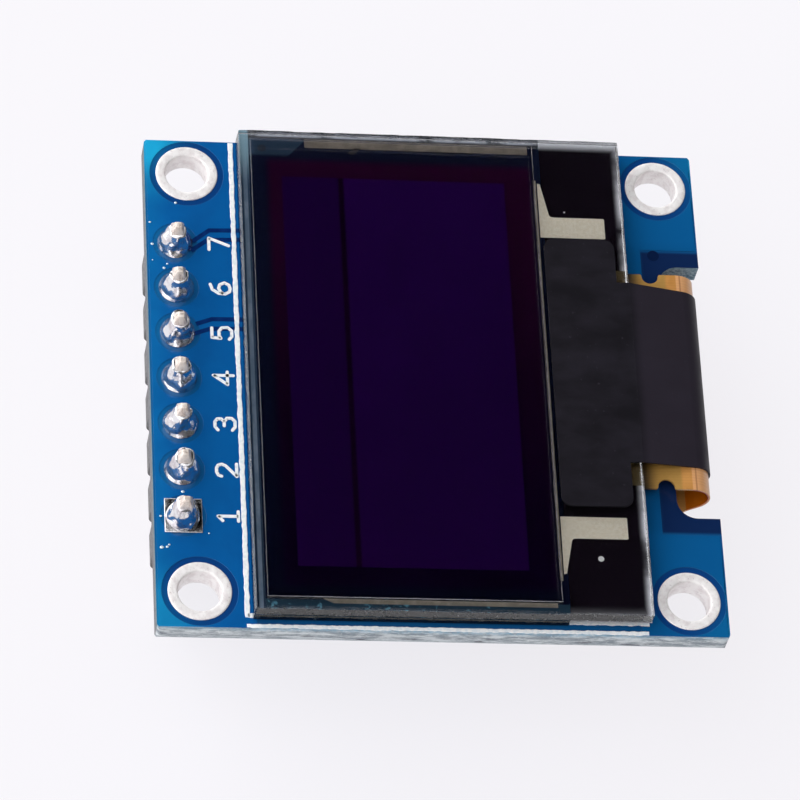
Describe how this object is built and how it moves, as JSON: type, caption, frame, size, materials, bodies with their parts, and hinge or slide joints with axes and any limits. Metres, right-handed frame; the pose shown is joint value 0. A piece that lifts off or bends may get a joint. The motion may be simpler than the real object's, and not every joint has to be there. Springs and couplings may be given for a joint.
{
  "type": "oled display module",
  "caption": "Small square OLED display module: a dark glass panel on a blue circuit board, with a folded amber ribbon at one edge and a pin header along the other",
  "frame": {"origin": "Centre of the four mounting holes, on the front face of the circuit board", "axes": "+X runs along the pin row from pin 1 to the last pin, +Y points at the header edge, +Z points out of the screen"},
  "size_m": [0.0274, 0.0278, 0.0115],
  "materials": {
    "board": "blue solder mask over glass-fibre laminate, satin gloss",
    "tinned_ring": "hot-tinned copper, slightly mottled",
    "strip_plastic": "black moulded plastic",
    "pin_metal": "plated brass pin",
    "solder": "bright tin solder",
    "bond_tape": "dark double-sided tape",
    "cover_glass": "clear cover glass",
    "drying_sheet": "pale drying sheet, sealed in",
    "emitting_layer": "dark indigo emitting layers with metal backing",
    "front_glass": "clear float glass",
    "polarising_film": "dark glossy polarising film",
    "silicon": "bare silicon chip",
    "lacquer": "black lacquer",
    "polyimide": "amber polyimide film with copper lines inside",
    "black_tape": "matte black tape",
    "moulding": "black epoxy moulding",
    "leg_metal": "tin-plated leg",
    "capacitor_ceramic": "tan ceramic with tinned ends",
    "resistor_ceramic": "black glazed top on white ceramic with tinned ends"
  },
  "bodies": {
    "root": {"circuit_board": "board", "hole_plating_1": "tinned_ring", "hole_plating_2": "tinned_ring", "hole_plating_3": "tinned_ring", "hole_plating_4": "tinned_ring", "header_strip": "strip_plastic", "header_pin_1": "pin_metal", "header_pin_2": "pin_metal", "header_pin_3": "pin_metal", "header_pin_4": "pin_metal", "header_pin_5": "pin_metal", "header_pin_6": "pin_metal", "header_pin_7": "pin_metal", "solder_joint_1": "solder", "solder_joint_2": "solder", "solder_joint_3": "solder", "solder_joint_4": "solder", "solder_joint_5": "solder", "solder_joint_6": "solder", "solder_joint_7": "solder", "bond_tape": "bond_tape", "cover_glass": "cover_glass", "drying_sheet": "drying_sheet", "emitting_layer": "emitting_layer", "front_glass": "front_glass", "polarising_film": "polarising_film", "driver_chip": "silicon", "ledge_lacquer": "lacquer", "flex_ribbon": "polyimide", "ribbon_joints": "solder", "black_tape": "black_tape", "regulator_body": "moulding", "regulator_legs": "leg_metal", "diode_body": "moulding", "diode_legs": "leg_metal", "capacitor_1": "capacitor_ceramic", "capacitor_2": "capacitor_ceramic", "capacitor_3": "capacitor_ceramic", "capacitor_4": "capacitor_ceramic", "capacitor_5": "capacitor_ceramic", "capacitor_6": "capacitor_ceramic", "capacitor_7": "capacitor_ceramic", "capacitor_8": "capacitor_ceramic", "resistor_1": "resistor_ceramic", "resistor_2": "resistor_ceramic", "resistor_3": "resistor_ceramic", "resistor_4": "resistor_ceramic", "resistor_5": "resistor_ceramic", "resistor_6": "resistor_ceramic", "resistor_7": "resistor_ceramic", "part_solder": "solder"}
  },
  "joints": []
}
